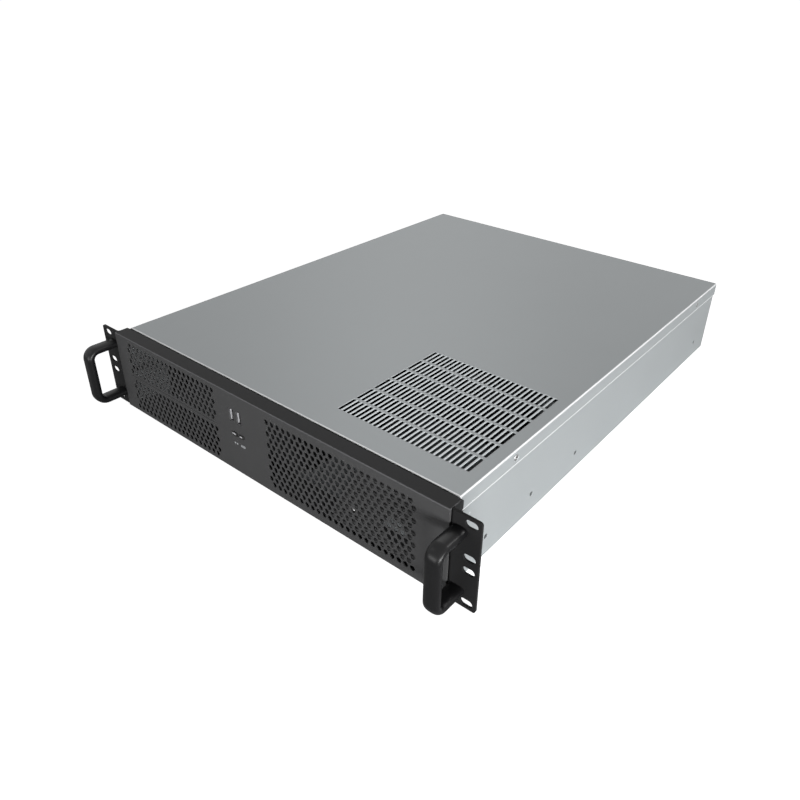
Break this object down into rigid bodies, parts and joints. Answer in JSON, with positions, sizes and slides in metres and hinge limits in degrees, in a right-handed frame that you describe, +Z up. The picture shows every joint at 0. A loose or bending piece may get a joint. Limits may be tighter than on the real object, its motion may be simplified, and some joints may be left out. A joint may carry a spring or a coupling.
{
  "type": "rackmount server case",
  "caption": "Empty rackmount server case: folded steel chassis with a slotted screwed cover, perforated black bezel between slotted rack ears with handles, fans and drive brackets inside.",
  "frame": {"origin": "middle of the rack slots' pattern, on the front plane of the ears", "axes": "+X to the right seen from the front, +Y back into the rack, +Z up"},
  "size_m": [0.4826, 0.5898, 0.0882],
  "materials": {
    "galvanised_steel": "satin zinc-coated sheet steel",
    "black_paint": "fine satin black powder coat",
    "black_anodised": "satin black anodised",
    "screw_zinc": "bright zinc plate",
    "screw_black": "black oxide",
    "post_brass": "turned",
    "circuit_board": "solder resist",
    "black_plastic": "moulded",
    "fan_plastic": "moulded",
    "socket_steel": "nickel plate",
    "button_plastic": "pale grey, glossy",
    "lens_plastic": "clear, frosted"
  },
  "bodies": {
    "case": {"ac_inlet": "black_plastic", "board_posts": "post_brass", "board_spacers": "post_brass", "chassis_pan": "galvanised_steel", "control_board": "circuit_board", "cover_screws": "screw_zinc", "disk_lens": "lens_plastic", "drive_cage_left": "galvanised_steel", "drive_cage_right": "galvanised_steel", "ear_left": "black_paint", "ear_right": "black_paint", "ear_screws": "screw_black", "fan_frame_1": "fan_plastic", "fan_frame_2": "fan_plastic", "fan_frame_3": "fan_plastic", "fan_screws": "screw_black", "fan_wall": "galvanised_steel", "front_bezel": "black_paint", "front_frame": "galvanised_steel", "handle_left": "black_anodised", "handle_right": "black_anodised", "handle_screws": "screw_black", "power_lens": "lens_plastic", "rear_panel": "galvanised_steel", "slot_cover_1": "galvanised_steel", "slot_cover_2": "galvanised_steel", "slot_cover_3": "galvanised_steel", "slot_cover_4": "galvanised_steel", "slot_cover_5": "galvanised_steel", "slot_cover_6": "galvanised_steel", "slot_cover_7": "galvanised_steel", "slot_ledge": "galvanised_steel", "slot_screws": "screw_zinc", "supply_bracket": "galvanised_steel", "top_cover": "galvanised_steel", "usb_port_left": "socket_steel", "usb_port_right": "socket_steel"},
    "power_button": {"power_button": "button_plastic"},
    "reset_button": {"reset_button": "button_plastic"},
    "fan_rotor_1": {"fan_rotor_1": "fan_plastic"},
    "fan_rotor_2": {"fan_rotor_2": "fan_plastic"},
    "fan_rotor_3": {"fan_rotor_3": "fan_plastic"}
  },
  "joints": [
    {"name": "power_press", "type": "slide", "parent": "case", "child": "power_button", "axis": [0, 1, 0], "range_m": [0, 0.0012], "stiffness_N_per_m": 800, "springref_m": -0.0006},
    {"name": "reset_press", "type": "slide", "parent": "case", "child": "reset_button", "axis": [0, 1, 0], "range_m": [0, 0.0012], "stiffness_N_per_m": 800, "springref_m": -0.0006},
    {"name": "fan_spin_1", "type": "hinge", "parent": "case", "child": "fan_rotor_1", "pos_m": [-0.105, 0.238, -0.00155], "axis": [0, 1, 0], "continuous": true},
    {"name": "fan_spin_2", "type": "hinge", "parent": "case", "child": "fan_rotor_2", "pos_m": [0, 0.238, -0.00155], "axis": [0, 1, 0], "continuous": true},
    {"name": "fan_spin_3", "type": "hinge", "parent": "case", "child": "fan_rotor_3", "pos_m": [0.105, 0.238, -0.00155], "axis": [0, 1, 0], "continuous": true}
  ]
}
